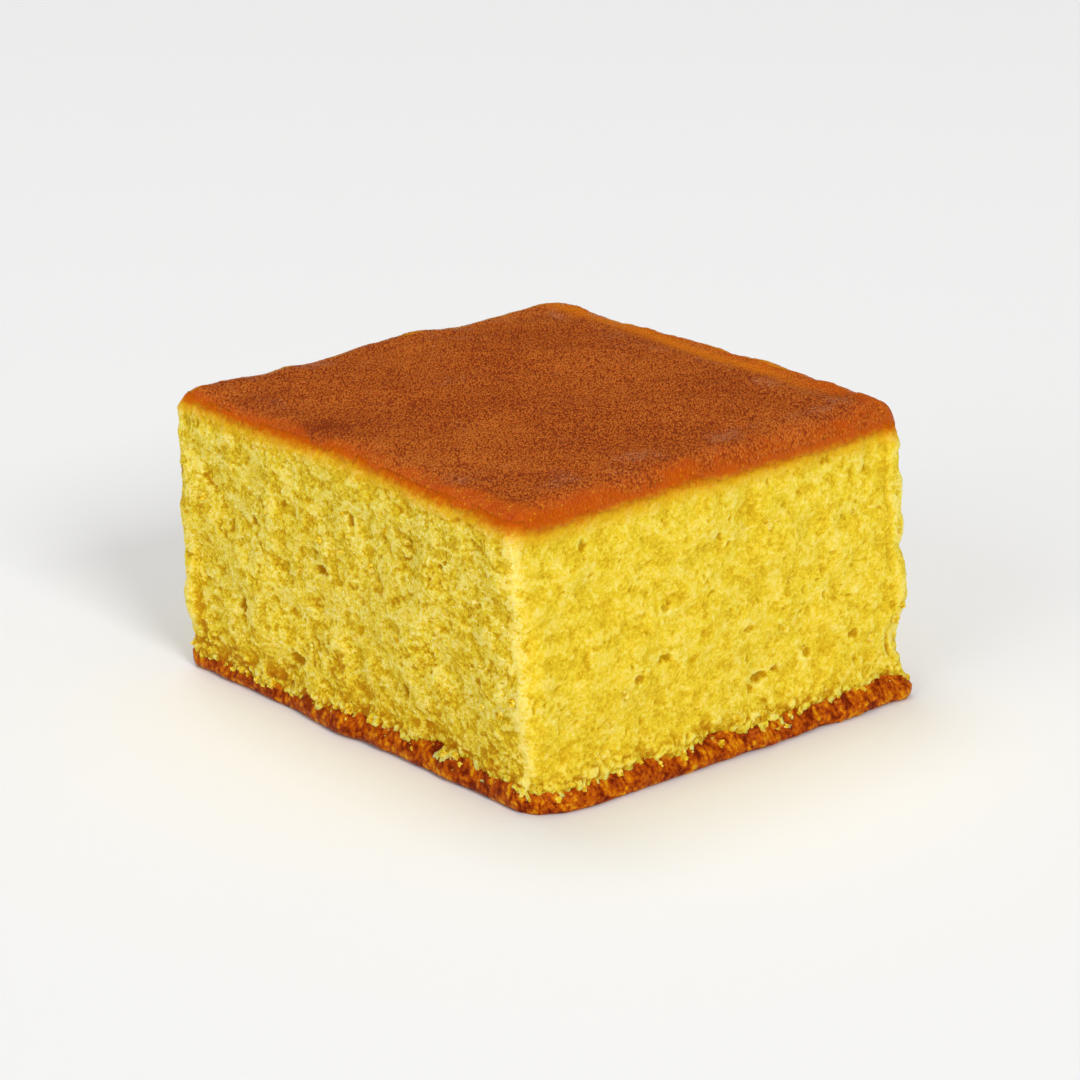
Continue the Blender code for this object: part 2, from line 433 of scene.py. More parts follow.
def new_finish(name):
    """An empty material, with its tree of nodes and its main shader."""
    made = bpy.data.materials.new(name)
    made.use_nodes = True
    return made, made.node_tree, made.node_tree.nodes["Principled BSDF"]


def let_light_in(shader, share, reach_mm, by_colour):
    """Scattering under the surface, further for the colours of light with more reach."""
    fill(shader, Subsurface_Weight=share, Subsurface_Radius=by_colour, Subsurface_Scale=reach_mm * MM)


# %% Colours, plain and linear
YELLOW = (0.84, 0.63, 0.031)
PALE_YELLOW = (0.93, 0.75, 0.19)
# the colour of the painted glints on the crumb
PAINTED_GLINT_YELLOW = (0.97, 0.87, 0.44)
DEEP_YELLOW = (0.62, 0.345, 0.003)
GOLDEN = (0.74, 0.37, 0.006)
ORANGE = (0.53, 0.090, 0.001)
RUSSET = (0.48, 0.100, 0.008)
AMBER = (0.66, 0.165, 0.003)
TAN = (0.60, 0.165, 0.022)
# the colour of the painted sheen on the top crust
SHEEN_PINK = (0.50, 0.175, 0.070)
EMBER = (0.42, 0.052, 0.002)
BROWN = (0.39, 0.072, 0.006)
DARK_BROWN = (0.25, 0.036, 0.004)
TOAST_AND_SHADE_BROWN = (0.50, 0.17, 0.002)
BASE_ORANGE = (0.56, 0.13, 0.002)
BASE_BROWN = (0.36, 0.052, 0.002)
BASE_DARK = (0.16, 0.014, 0.001)
CRUMB_REACH = (1.2, 0.85, 0.16)  # how far red, green and blue light go in the crumb
CRUST_REACH = (1.0, 0.35, 0.08)


# %% The crumb's finish
GOLDEN_FADE = (1.9, 4.6)  # from this far below the top to this far, in mm
ORANGE_FADE = (1.4, 3.0)
CRYSTAL_MM = 0.31  # the grains of semolina
GLINT_MM = 0.30
CRUMB_DUST_MM = 0.24  # the finest noise on the crumb
CRUMB_ROUGHNESS = 0.45
CRUMB_SPECULAR = 0.03


def crust_fade(tree, crumb_colour):
    """The colour down a cut side: crust colours near the top, then the crumb's own."""
    wander = noise_node(tree, 0.9, 4.0, 0.7)
    uneven = weighted(tree, -0.9, (note_of(tree, "below_top"), 1.0), (wander, 1.8))
    golden_share = map_range(tree, uneven, *GOLDEN_FADE, 0.95, 0.0)
    orange_share = map_range(tree, uneven, *ORANGE_FADE, 1.0, 0.0)
    colour = blend_colours(tree, golden_share, crumb_colour, GOLDEN)
    return blend_colours(tree, orange_share, colour, ORANGE)


def crumb_material(name, scattering, reach_mm):
    """Yellow crumb: painted paler where it stands out and deeper in its hollows, as painted light and
    shade, with a few painted glints.
    """
    made, tree, shader = new_finish(name)
    hollow = note_of(tree, "hollow")
    crumbly = note_of(tree, "crumbly")
    crystals, middles = crystal_node(tree, CRYSTAL_MM)
    dust = noise_node(tree, CRUMB_DUST_MM, 2.0)
    flecks = weighted(tree, -0.65, (dust, 0.80), (crystals, 0.50))
    fleck_share = weighted(tree, 0.65, (crumbly, 0.40))
    mottle = weighted(tree, -0.25, (noise_node(tree, 1.8), 0.5))
    # the hollow note paints shade: deeper yellow in pits and between clumps, paler on what stands out
    depth = weighted(tree, 0.5, (flecks, fleck_share), (mottle, 1.0), (hollow, 0.32))
    colour = ramp(tree, depth, [(0.15, PALE_YELLOW), (0.48, YELLOW), (0.88, DEEP_YELLOW)])

    # painted glints: pale specks on single grains where the crumb stands out, standing in for highlights
    glints, glint_middles = crystal_node(tree, GLINT_MM)
    few = map_range(tree, glints, 0.60, 0.68)
    small = map_range(tree, glint_middles, 0.45, 0.2)
    standing_out = map_range(tree, hollow, 0.3, -0.3)
    painted_glint_share = product_of(tree, product_of(tree, few, small), standing_out)
    painted_glint_share = product_of(tree, painted_glint_share, weighted(tree, 0.10, (crumbly, 0.75)))
    colour = crust_fade(tree, blend_colours(tree, painted_glint_share, colour, PAINTED_GLINT_YELLOW))
    # toasted brown near the base, and painted shade deep in hollows and torn holes
    colour = blend_colours(tree, note_of(tree, "toast_and_shade"), colour, TOAST_AND_SHADE_BROWN)
    tree.links.new(colour, shader.inputs["Base Color"])

    fill(shader, Roughness=CRUMB_ROUGHNESS, Specular_IOR_Level=CRUMB_SPECULAR)
    let_light_in(shader, scattering, reach_mm, CRUMB_REACH)
    rough = weighted(tree, dust, (crystals, 0.5), (middles, -0.9))
    tilt = weighted(tree, 0.12, (crumbly, 0.15))
    tree.links.new(bump(tree, rough, 0.08, facets(tree, crystals, tilt)), shader.inputs["Normal"])
    return made


crumb_finish = crumb_material("crumb", 0.8, 1.5)
grain_finish = crumb_material("loose crumbs", 0.0, 0.3)
print("the crumb's finish fades to golden within", GOLDEN_FADE[1], "mm of the top")


# %% The top crust's finish
PEBBLE_MM = (0.26, 0.54, 0.38)  # the leathery grains are longer one way
PEBBLE_TURN = math.radians(-40.0)
RIM_GLINT_MM = 0.4  # painted golden glints on the rim
TOP_SPECULAR = 0.06
SHINIEST, DULLEST = 0.26, 0.38  # the top crust's roughness


def pebble_node(tree):
    """Leathery grains: a colour of its own for each, and the distance from its middle."""
    drawn = add_node(tree, "ShaderNodeMapping", vector_type="TEXTURE")
    drawn.inputs["Rotation"].default_value = (0.0, 0.0, PEBBLE_TURN)
    drawn.inputs["Scale"].default_value = [size * MM for size in PEBBLE_MM]
    tree.links.new(place_of(tree), drawn.inputs["Vector"])
    made = fill(add_node(tree, "ShaderNodeTexVoronoi"), Scale=1.0)
    tree.links.new(drawn.outputs[0], made.inputs["Vector"])
    return made.outputs["Color"], made.outputs["Distance"]


def top_crust_material():
    """Leathery brown on the flat, orange over the rim, then the crumb's own fade."""
    made, tree, shader = new_finish("top crust")
    rim = note_of(tree, "rim")
    cloudy = noise_node(tree, 13.0, 4.0)
    mottled = noise_node(tree, 2.6, 5.0, 0.65)
    speckled = noise_node(tree, 0.48, 1.0, 0.5)
    pebbles, pebble_middles = pebble_node(tree)
    pebbled = weighted(tree, 0.25, (pebbles, 0.20), (pebble_middles, -0.75))
    tone = weighted(tree, 0.02, (speckled, 0.20), (mottled, 0.22), (cloudy, 0.70), (pebbled, 1.5))
    # scorched spots darken the crust, and the wrinkles' valleys get painted shade
    tone = weighted(tree, tone, (note_of(tree, "scorch"), -0.25), (note_of(tree, "hollow"), -0.13))
    colour = ramp(tree, tone, [(0.22, DARK_BROWN), (0.44, BROWN), (0.64, RUSSET), (0.88, TAN)])

    # painted sheen: pinkish patches that stand in for a soft reflection
    patchy = noise_node(tree, 7.0)
    sheen_share = weighted(tree, -2.30, (speckled, 1.6), (patchy, 2.4), (note_of(tree, "painted_sheen"), 1.0))
    colour = blend_colours(tree, map_range(tree, sheen_share, 0.0, 0.8, 0.0, 0.7), colour, SHEEN_PINK)
    uneven_rim = weighted(tree, -0.74, (rim, 1.0), (speckled, 0.5), (mottled, 1.2))
    colour = blend_colours(tree, map_range(tree, uneven_rim, 0.20, 1.15), colour, ORANGE)
    embers = map_range(tree, noise_node(tree, 2.6, 5.0, 0.7), 0.47, 0.62, 0.0, 0.85)
    colour = blend_colours(tree, product_of(tree, embers, rim), colour, EMBER)
    colour = blend_colours(tree, note_of(tree, "fold"), colour, AMBER)
    # golden painted rim light along the far edges
    colour = blend_colours(tree, note_of(tree, "painted_rim_light"), colour, GOLDEN)

    # painted glints: golden specks on the rim that stand in for highlights
    rim_glints, rim_glint_middles = crystal_node(tree, RIM_GLINT_MM)
    few = map_range(tree, rim_glints, 0.66, 0.76, 0.0, 0.8)
    small = map_range(tree, rim_glint_middles, 0.4, 0.2)
    rim_glint_share = product_of(tree, product_of(tree, few, small), rim)
    colour = blend_colours(tree, rim_glint_share, colour, GOLDEN)
    over_edge = weighted(tree, -0.75, (note_of(tree, "below_top"), 1.0), (mottled, 1.5))
    lower = map_range(tree, over_edge, 0.6, 1.8)
    colour = blend_colours(tree, lower, colour, crust_fade(tree, YELLOW))
    tree.links.new(colour, shader.inputs["Base Color"])

    shine = ramp(tree, mottled, [(0.3, (SHINIEST,) * 3), (0.7, (DULLEST,) * 3)])
    tree.links.new(shine, shader.inputs["Roughness"])
    fill(shader, Specular_IOR_Level=TOP_SPECULAR)
    let_light_in(shader, 0.1, 0.5, CRUST_REACH)
    grain = product_of(tree, pebbled, weighted(tree, 1.0, (rim, -0.6)))
    tree.links.new(bump(tree, grain, 0.32), shader.inputs["Normal"])
    return made


top_finish = top_crust_material()
print("the top crust's finish has grains of", PEBBLE_MM, "mm")


# %% The base crust's finish
BASE_GRAIN_MM = 0.4
BASE_ROUGHNESS = 0.35
BASE_SPECULAR = 0.03


def base_crust_material():
    """Fried browns in blotches, painted darker in the hollows as painted shade, with an oily glint on each
    grain.
    """
    made, tree, shader = new_finish("base crust")
    blotched = noise_node(tree, 2.2, 5.0, 0.65)
    speckled = noise_node(tree, 0.55)
    hollow = note_of(tree, "hollow")
    tone = weighted(tree, -0.40, (speckled, 0.9), (blotched, 0.9), (hollow, -0.30))
    browns = [(0.20, BASE_DARK), (0.42, BASE_BROWN), (0.66, BASE_ORANGE), (0.95, GOLDEN)]
    tree.links.new(ramp(tree, tone, browns), shader.inputs["Base Color"])
    fill(shader, Roughness=BASE_ROUGHNESS, Specular_IOR_Level=BASE_SPECULAR)
    let_light_in(shader, 0.2, 0.4, CRUST_REACH)
    crystals, _ = crystal_node(tree, BASE_GRAIN_MM)
    tilt = map_range(tree, blotched, 0.3, 0.7, 0.35, 0.65)
    tree.links.new(bump(tree, speckled, 0.15, facets(tree, crystals, tilt)), shader.inputs["Normal"])
    return made


base_finish = base_crust_material()
print("three finishes are ready, and a fourth for the loose crumbs")

# %% [markdown]
# ## The way round the cut sides
# The crumb is one sheet wrapped round the piece. A smaller rectangle inside the cake gives each point a
# place to start from and a way to go: straight out on the flats, and fanned out at the four corners. A
# near half and a far half keep the meshes easy to handle. They meet a little past the two side corners.

# %% A core to cast from
FAN = 5.0  # the core is this far inside the box, in mm
CORE_X, CORE_Y = HALF_X - FAN, HALF_Y - FAN
CORNER_STRETCH = 1.12  # a little more than a true arc, so that points lie close at the corners too
ARC = FAN * CORNER_STRETCH * math.pi / 2  # the length round that each corner takes, in mm
ROUND = 4 * (CORE_X + CORE_Y + ARC)  # once round the piece


def wall_line(around):
    """Starting place and way out in plan, for each length round the piece.

    The length is counted anticlockwise from the middle of the corner at +X -Y.
    """
    left = np.mod(around + ARC / 2, ROUND)
    start = np.zeros((len(around), 2))
    way = np.zeros((len(around), 2))
    corners = [(CORE_X, -CORE_Y), (CORE_X, CORE_Y), (-CORE_X, CORE_Y), (-CORE_X, -CORE_Y)]
    corners = np.array([*corners, corners[0]])
    begin = 0.0
    for quarter, (first, last) in enumerate(itertools.pairwise(corners)):
        length = np.linalg.norm(last - first)
        turning = (left >= begin) & (left < begin + ARC)
        angle = (quarter - 1 + (left[turning] - begin) / ARC) * math.pi / 2
        start[turning] = first
        way[turning] = np.stack([np.cos(angle), np.sin(angle)], axis=1)
        straight = (left >= begin + ARC) & (left < begin + ARC + length)
        share = (left[straight] - begin - ARC) / length
        start[straight] = first + share[:, None] * (last - first)
        way[straight] = (math.cos(quarter * math.pi / 2), math.sin(quarter * math.pi / 2))
        begin += ARC + length
    return start, way


print(f"once round the core is {ROUND:.0f} mm")

# %% [markdown]
# ## Granules and bubbles
# Cut sponge is a foam that has broken, not sliced. Most of what shows is soft granules about a millimetre
# across, made of finer ones. Here and there the knife opened a bubble, which is a piece of a ball sunk
# into the face. Granules come from the distance to scattered points, as in a Voronoi texture: in the
# crack between two granules the nearest point and the second nearest are equally far. Every place is
# first stirred with noise, so that no granule is a neat cell and no bubble is round.


# %% Granules
JITTER = 0.45  # how far a granule's point lies from the middle of its cell, as a share of the cell
CRACK_SLOPE = 1.7  # how steeply granules rise from their cracks


def granules(places, size, seed):
    """How far inside its granule each place is, 0 in a crack to 1, and the granule's own number."""
    scaled = places / size + 0.53 * seed
    home = np.floor(scaled).astype(np.int64)
    nearest = np.full(places.shape[:-1], 9.0)
    second = nearest.copy()
    own = np.zeros_like(nearest)
    for step_x, step_y, step_z in np.ndindex(3, 3, 3):
        cell = home + np.array((step_x - 1, step_y - 1, step_z - 1))
        x, y, z = cell[..., 0], cell[..., 1], cell[..., 2]
        moved = np.stack([dice(x, y, z, seed + axis) for axis in range(3)], axis=-1)
        gap = np.sqrt(((scaled - cell - 0.5 - JITTER * moved) ** 2).sum(axis=-1))
        closer = gap < nearest
        second = np.where(closer, nearest, np.minimum(second, gap))
        own = np.where(closer, dice(x, y, z, seed + 3), own)
        nearest = np.where(closer, gap, nearest)
    return np.clip(CRACK_SLOPE * (second - nearest), 0.0, 1.0), own


def stirred(places, size, far, seed):
    """The places moved about by noise of this size, by up to this far in mm."""
    return places + far * np.stack([layered(places, size, seed + k, 2) for k in range(3)], axis=-1)


# %% Where the bubbles are
# of three kinds of bubble: number per square mm, smallest and largest radius in mm
BUBBLES = [(0.006, 0.50, 0.85), (0.05, 0.30, 0.55), (0.25, 0.20, 0.34)]
HOLE_SEED = 5
CROWDED = 1.6  # above 1, more of a kind are small than large
TORN_SHALLOW = 0.2  # how far out of the face a torn hole's ball stands, as a share of its radius
ON_MINUS_X = ROUND / 2 + ARC / 2 + CORE_Y  # the length round at the middle of the face at -X
ON_MINUS_Y = ROUND - ARC / 2 - CORE_X
# where the knife tore wider holes: along from the middle, height and radius in mm, and narrowness
TORN_AT_MINUS_X = [
    (-5.2, 22.3, 0.85, 0.8), (-4.3, 20.1, 1.05, 0.7), (-16.6, 23.1, 0.80, 1.0), (-10.8, 26.5, 0.60, 1.2),
    (2.3, 28.1, 0.70, 1.0), (-10.6, 7.2, 1.30, 0.8), (-20.5, 11.5, 1.00, 1.1), (9.5, 9.0, 0.90, 0.9),
]
TORN_AT_MINUS_Y = [
    (20.5, 9.9, 0.80, 0.8), (6.0, 8.0, 0.95, 0.7), (8.6, 8.4, 0.70, 0.9), (27.6, 7.0, 1.20, 1.2),
    (17.2, 31.5, 0.60, 1.0), (-13.0, 13.0, 0.75, 0.8), (-8.0, 21.0, 0.55, 1.1),
]
TORN_OPEN = [(ON_MINUS_X + along, *hole) for along, *hole in TORN_AT_MINUS_X]
TORN_OPEN += [(ON_MINUS_Y + along, *hole) for along, *hole in TORN_AT_MINUS_Y]


def holes():
    """Length round, height, radius, shallowness and narrowness of every hole."""
    draw = np.random.default_rng(HOLE_SEED)
    found = [(*hole[:3], TORN_SHALLOW * hole[2], hole[3]) for hole in TORN_OPEN]
    for per_area, smallest, largest in BUBBLES:
        count = int(per_area * ROUND * TOP)
        middles = draw.uniform(0.0, ROUND, count)
        heights = draw.uniform(0.0, TOP, count)
        radii = smallest + (largest - smallest) * draw.uniform(0.0, 1.0, count) ** CROWDED
        offsets = radii * draw.uniform(0.1, 0.8, count)
        slants = draw.uniform(0.7, 1.4, count)
        found += zip(middles, heights, radii, offsets, slants, strict=True)
    return found


print(len(holes()), "bubbles were cut open or torn")


# %% Sink the bubbles
STIR = 0.3  # how far the stirring moves a place, in mm
STIR_SIZE = 0.75
BRIM = 0.05  # a hole's brim stands out this far
NO_HOLE = 9.0  # further out than any crumb


def sink_bubbles(relief, around, up, places):
    """Sinks balls into the relief. Around and up are the grid's own lengths."""
    stirred_around = around[None, :] + STIR * layered(places, STIR_SIZE, 61)
    stirred_up = up + STIR * layered(places, STIR_SIZE, 62)
    rows, columns = relief.shape
    step = around[1] - around[0]
    for turn, hole in itertools.product((-ROUND, 0.0, ROUND), holes()):
        middle, height, radius, offset, slant = hole
        middle += turn
        window = radius * 1.4 + 1.5 * STIR
        column = (middle - around[0]) / step
        strip = up[:, min(max(int(column), 0), columns - 1)]
        rise = (strip[-1] - strip[0]) / (rows - 1)
        row = (height - strip[0]) / rise
        left, far = int(column - window / step), int(column + window / step) + 1
        under, over = int(row - window / rise), int(row + window / rise) + 1
        if far <= 0 or left >= columns or over <= 0 or under >= rows:
            continue
        part = (slice(max(under, 0), over), slice(max(left, 0), far))
        across = (stirred_around[part] - middle) * slant
        along = (stirred_up[part] - height) / slant
        inside = radius**2 - across**2 - along**2
        depth = np.sqrt(np.maximum(inside, 0.0)) - offset
        np.minimum(relief[part], np.where(inside > 0, BRIM - depth, NO_HOLE), out=relief[part])


def near_torn(around, up):
    """1 in the wider holes, and 0 away from them."""
    found = np.zeros(up.shape)
    for middle, height, radius, _ in TORN_OPEN:
        found = np.maximum(found, hump(np.hypot(around[None, :] - middle, up - height), 1.3 * radius))
    return found


# %% [markdown]
# ## The crumb
# Each half of the sheet is cast onto the solid, then pushed in and out along the same way: slow clumps,
# granules in two sizes, sunk bubbles and a fine roughness. Near the top the granules close up, and the
# sheet's upper edge slips in under the crust along a wandering line, so that no straight seam shows. Near
# the base the crumb draws back, because the fried base stands out past it.

# %% The edges between crust and crumb
CRUST_DEPTH = 1.95  # the top crust reaches about this far down the sides
LESS_AT_LEFT = 0.75  # and this much less far on the face at -X
CORNER_RUN = 1.8  # but this much further at the corner at +X -Y
BASE_HEIGHT = 1.75  # the base crust reaches about this high
BASE_RISE = 0.9  # and this much higher at the near corner, at -X -Y


def crust_edge(places):
    """How far below the top the crust ends, wandering along the side."""
    return CRUST_DEPTH + 0.40 * noise(places, 2.6, 31) + 0.22 * noise(places, 0.8, 32)


def base_line(places):
    """How high the base crust reaches, wandering along the side."""
    near_corner = np.hypot(places[..., 0] + HALF_X, places[..., 1] + HALF_Y)
    wander = 0.60 * noise(places, 2.7, 81) + 0.60 * noise(places, 1.4, 84)
    return BASE_HEIGHT + BASE_RISE * (1.0 - smooth_step(3.0, 10.0, near_corner)) + wander


def foot_bulge(places):
    """How much further the foot of the two near faces stands out than the solid's, along x, y and z."""
    x, y, z = places[..., 0], places[..., 1], places[..., 2]
    on_left = smooth_step(HALF_X - 4.0, HALF_X - 1.0, -x)
    on_left = on_left * (1.0 - smooth_step(11.0, 22.0, np.abs(y + 10.0)))
    on_right = smooth_step(HALF_Y - 4.0, HALF_Y - 1.0, -y) * smooth_step(-27.0, -19.0, x)
    fade = 1.0 - smooth_step(1.5, 8.0, z)
    return np.stack([-1.3 * on_left * fade, -1.1 * on_right * fade, np.zeros_like(z)], axis=-1)


def less_at_left(x):
    """How much less far the crust runs down the face at -X."""
    return LESS_AT_LEFT * smooth_step(HALF_X - 4.0, HALF_X - 0.5, -x)


def crust_run(places):
    """How much further the crust runs down than on the face at -Y."""
    from_corner = np.hypot(places[..., 0] - HALF_X, places[..., 1] + HALF_Y)
    from_corner += 0.8 * noise(places, 1.5, 33)
    corner_run = CORNER_RUN * (1.0 - smooth_step(0.5, 4.5, from_corner))
    return corner_run - less_at_left(places[..., 0])


# %% The height of the top
CREST_INSET = 3.2  # the height of the top is taken this far inside the rim
CREST_STEPS = 40
OVERHEAD = TOP + 5.0
crest_x = np.linspace(CREST_INSET - HALF_X, HALF_X - CREST_INSET, CREST_STEPS)
crest_y = np.linspace(CREST_INSET - HALF_Y, HALF_Y - CREST_INSET, CREST_STEPS)
overhead = np.full((CREST_STEPS, CREST_STEPS), OVERHEAD)
over_top = np.stack([*np.meshgrid(crest_x, crest_y), overhead], axis=-1)
downwards = np.zeros_like(over_top) - (0.0, 0.0, 1.0)
crest_heights = blurred(OVERHEAD - reach_of(over_top, downwards), 1)


def crest_at(places):
    """The height of the top just inside the rim, for places beyond it or on it."""
    share_x = (places[..., 0] - crest_x[0]) / (crest_x[-1] - crest_x[0])
    share_y = (places[..., 1] - crest_y[0]) / (crest_y[-1] - crest_y[0])
    column = np.clip(share_x, 0.0, 0.9999) * (CREST_STEPS - 1)
    row = np.clip(share_y, 0.0, 0.9999) * (CREST_STEPS - 1)
    left, under = column.astype(int), row.astype(int)
    column, row = column - left, row - under
    lower, upper = (
        crest_heights[line, left] * (1.0 - column) + crest_heights[line, left + 1] * column
        for line in (under, under + 1)
    )
    return lower * (1.0 - row) + upper * row


print(f"the top lies {crest_heights.min():.1f} to {crest_heights.max():.1f} mm up")


# %% The crumb's relief
WIDENING = (0.8, 0.8, 1.0)  # below 1, granules are wider that way


def crumb_relief(cut, around, up, lumpy):
    """How far the crumb stands out from the cut, and how far inside a clump it is, from 0 to 1.

    Lumpy is 1 on the two faces that the knife tore, and 0 on the smoother ones.
    """
    wide = cut * WIDENING
    mixed = stirred(wide, 0.8, 0.28, 11)
    clumps = smooth_step(-0.55, 0.30, layered(mixed, 1.3, 43, 3))
    middling, middling_own = granules(mixed, 0.85, 21)
    fine, fine_own = granules(mixed, 0.42, 25)
    crisp = 0.45 + 0.55 * lumpy
    # slow waves and clumps, then granules of two sizes
    relief = 0.15 * layered(cut, 3.2, 41) + (0.09 + 0.06 * lumpy) * (clumps - 0.6)
    relief += (0.5 + 0.15 * lumpy) * ((0.13 + 0.10 * middling_own) * np.sqrt(middling) - 0.08)
    relief += crisp * (0.08 * np.sqrt(fine) + 0.07 * fine_own - 0.05)
    # the crumb crumbles into coarse granules near the base
    crumbling = 1.0 - smooth_step(2.5, 8.0, up + 1.5 * noise(cut, 4.0, 99))
    coarse, coarse_own = granules(stirred(wide, 1.0, 0.3, 14), 1.15, 27)
    relief += crumbling * ((0.30 + 0.20 * coarse_own) * np.sqrt(coarse) - 0.22)
    sink_bubbles(relief, around, up, cut)
    return relief + 0.05 * crisp * noise(cut, 0.27, 45), clumps


def edge_ridge_and_light(around, cut):
    """1 along the crumbly upright edge at the near corner, and 0 a few mm away from it. The edge stands
    out there, and the crumb's colour is painted paler along it as painted light.
    """
    middle = ROUND / 2 + ARC + 2 * CORE_Y - 1.3 * smooth_step(4.0, 14.0, cut[..., 2])
    wander = 0.9 * noise(cut, 5.0, 96) + 0.8 * noise(cut, 1.7, 97) + 0.3 * noise(cut, 0.7, 95)
    return hump(around[None, :] - middle + wander, 1.25)


# %% One half of the crumb: the sheet
CRUMB_LOW = 0.7  # the crumb's sheet starts this far above the base
UNDER_CREST = 1.3  # and ends this far below the top
CRUMB_CELL = 0.2115  # between the sheet's points
PAST_CORNER = 3.0  # the halves meet this far past the side corners, on the far faces
OVERLAP = 0.8  # the near half goes on this much further and slips under the far half
SPARE = 2.0  # each half is made this much too long, for its blurs, and then trimmed


def crumb_sheet(first, last, margin):
    """Lengths round, heights, places on the cut and ways out, for one half of the crumb."""
    columns = int((last - first + 2 * margin) / CRUMB_CELL)
    around = np.linspace(first - margin, last + margin, columns)
    start, way = wall_line(around)
    outer = start + way * FAN
    highest = crest_at(outer) - UNDER_CREST + less_at_left(outer[:, 0])
    rows = int((TOP - 2.2 - CRUMB_LOW) / CRUMB_CELL)
    share = np.linspace(0.0, 1.0, rows)[:, None]
    up = CRUMB_LOW + share * (highest[None, :] - CRUMB_LOW)
    origins = np.zeros((rows, columns, 3))
    origins[..., :2] = start
    origins[..., 2] = up
    ways = np.zeros_like(origins)
    ways[..., :2] = way
    return around, up, surface_of(origins, ways, 2), ways


# %% One half of the crumb: notes for its colours
def crumb_hollow(relief, clumps, ridge, lumpy, up):
    """How deep in a hollow each point lies, from -1 on a peak to 1 in a pit; the crumb's colour turns it
    into painted shade.
    """
    near_dip = (blurred(relief, 2) - relief) / 0.18
    wide_dip = (blurred(relief, 8) - relief) / 0.42
    # deeper colour towards the base, more on the two lumpy faces
    deeper_low_down = (0.12 + 0.25 * lumpy) * (1.0 - smooth_step(4.0, 15.0, up))
    # painted shade in the cracks between clumps
    split = (0.20 + 0.25 * lumpy) * (0.60 - clumps)
    # the near upright edge is painted paler, as painted light
    return np.clip(0.6 * near_dip + 0.8 * wide_dip + split - 1.1 * ridge + deeper_low_down, -1.0, 1.0)


def crumb_toast_and_shade(cut, around, up, hollow, lumpy):
    """How much toasted brown each point takes: toasting near the base, stronger in its hollows as painted
    shade, and painted shade deep in pits here and there and in the torn holes.
    """
    toasted = 1.0 - smooth_step(1.3, 6.0, up + 1.5 * noise(cut, 2.0, 93))
    toast_and_shade = np.clip(toasted * (0.12 + 1.6 * hollow), 0.0, 0.9)
    # painted shade deep in pits here and there, and in the torn holes
    some = smooth_step(0.25 - 0.35 * lumpy, 0.9 - 0.3 * lumpy, noise(cut, 2.5, 94))
    some = np.maximum(some, near_torn(around, up))
    return np.maximum(toast_and_shade, (0.35 + 0.30 * lumpy) * smooth_step(0.5, 1.0, hollow) * some)


# %% Make the two halves
def crumb_half(name, first, last, overlap):
    """Makes one half of the crumb, and returns its places, ways out and notes."""
    around, up, cut, ways = crumb_sheet(first, last, SPARE + overlap)
    below = crest_at(cut) - up - crust_run(cut)
    lumpy = smooth_step(0.4, 1.0, np.abs(ways[..., 0]))
    relief, clumps = crumb_relief(cut, around, up, lumpy)
    ridge = edge_ridge_and_light(around, cut)
    relief += 0.30 * ridge * (0.4 + 0.9 * noise(cut, 1.6, 98))
    # the side corners stand out, and the one at -X +Y is worn back higher up
    side_corner = smooth_step(0.90, 0.99, np.abs(ways[..., 0] - ways[..., 1]) / math.sqrt(2.0))
    relief += 0.40 * side_corner * smooth_step(2.0, 8.0, up)
    at_left = side_corner * (ways[..., 0] < 0)
    relief += at_left * (0.35 * hump(up - 8.0, 4.0) - 0.9 * hump(up - 25.0, 4.0))
    # the granules close up towards the crust
    relief *= 0.12 + 0.88 * smooth_step(CRUST_DEPTH - 0.6, CRUST_DEPTH + 1.6, below)
    hollow = crumb_hollow(relief, clumps, ridge, lumpy, up)
    toast_and_shade = crumb_toast_and_shade(cut, around, up, hollow, lumpy)
    # the sheet slips under the top crust, behind the base crust and under the other half
    relief -= 0.35 * (1.0 - smooth_step(-0.8, -0.1, below - crust_edge(cut)))
    base_edge = base_line(cut) - 0.15 + 0.6 * noise(cut, 0.9, 92)
    relief -= 0.50 * (1.0 - smooth_step(-0.4, 0.5, up - base_edge))
    past_end = np.maximum(first - around, around - last)
    relief -= 0.10 * smooth_step(0.1, 0.4, past_end)[None, :] * (overlap > 0)
    places = cut + ways * relief[..., None] + 0.5 * foot_bulge(cut)
    # a little shaking along the face, so that no row or column of points shows
    side = np.stack([-ways[..., 1], ways[..., 0], np.zeros_like(relief)], axis=-1)
    places += side * (0.06 * noise(cut, 0.3, 51))[..., None]
    places[..., 2] += 0.06 * noise(cut, 0.3, 52)

    kept = (past_end <= overlap) if overlap else (past_end <= CRUMB_CELL / 2)
    places, ways = places[:, kept], ways[:, kept]
    notes = {"hollow": hollow, "below_top": below, "toast_and_shade": toast_and_shade, "crumbly": lumpy}
    notes = {note: field[:, kept] for note, field in notes.items()}
    hand_in(grid_piece(name, places, notes, crumb_finish))
    return places, ways, notes


near_half = crumb_half("crumb_near", ROUND / 2 - PAST_CORNER, ROUND + PAST_CORNER, OVERLAP)
far_half = crumb_half("crumb_far", PAST_CORNER, ROUND / 2 - PAST_CORNER, 0.0)

# %% [markdown]
# ## Top and base: two trays
# The top crust is a shallow tray turned upside down, and the base crust is one the right way up. For
# both, a square grid is laid over the face. Outside the flat part its points fan out over the edge, and
# in the corners square rings of the grid are bent into round ones, so that no corner is pinched.


